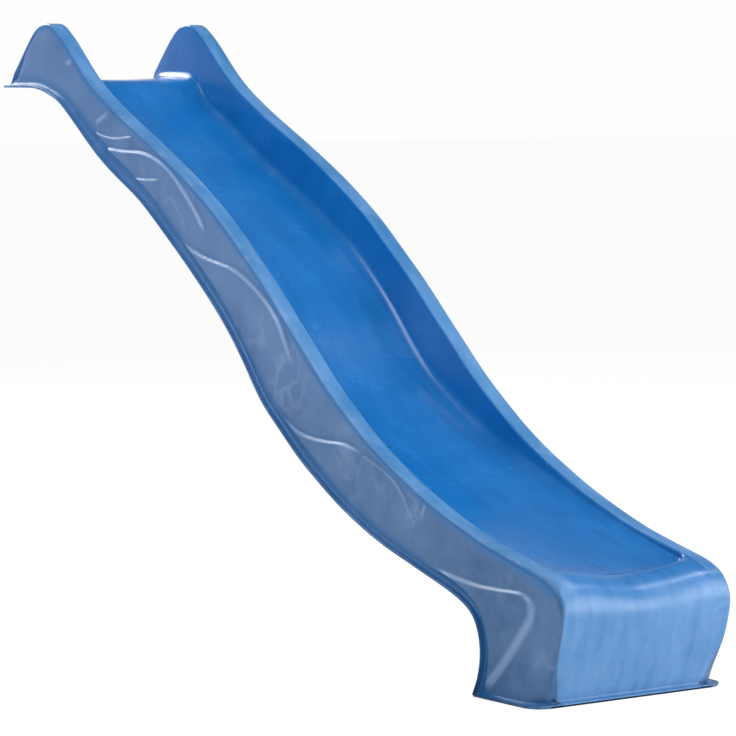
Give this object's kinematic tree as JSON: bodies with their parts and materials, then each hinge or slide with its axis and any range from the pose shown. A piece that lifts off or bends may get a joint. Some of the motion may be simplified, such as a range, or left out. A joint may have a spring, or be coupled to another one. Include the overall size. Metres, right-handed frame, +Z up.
{
  "type": "wave slide",
  "caption": "Wavy hollow-moulded plastic playground slide with side rims, hand grips, a flat lip to fix on a platform and a rounded foot that stands on the ground.",
  "frame": {"origin": "on the ground, below the middle of the slide's bounding box", "axes": "+X across the slide, +Y from the foot towards the platform, +Z up"},
  "size_m": [0.62, 2.6202, 1.6873],
  "materials": {
    "moulding": "semi-gloss blow-moulded polyethylene, blue",
    "sleeve": "drawn, plain",
    "insert": "turned, plain",
    "plug": "moulded polyethylene, blue"
  },
  "bodies": {
    "root": {"platform_lip": "moulding", "slide_bed": "moulding", "left_side": "moulding", "right_side": "moulding", "nose": "moulding", "underside": "moulding", "foot_base": "moulding", "tack_offs": "moulding", "lip_sleeves": "sleeve", "anchor_inserts": "insert", "blow_plug": "plug"}
  },
  "joints": []
}
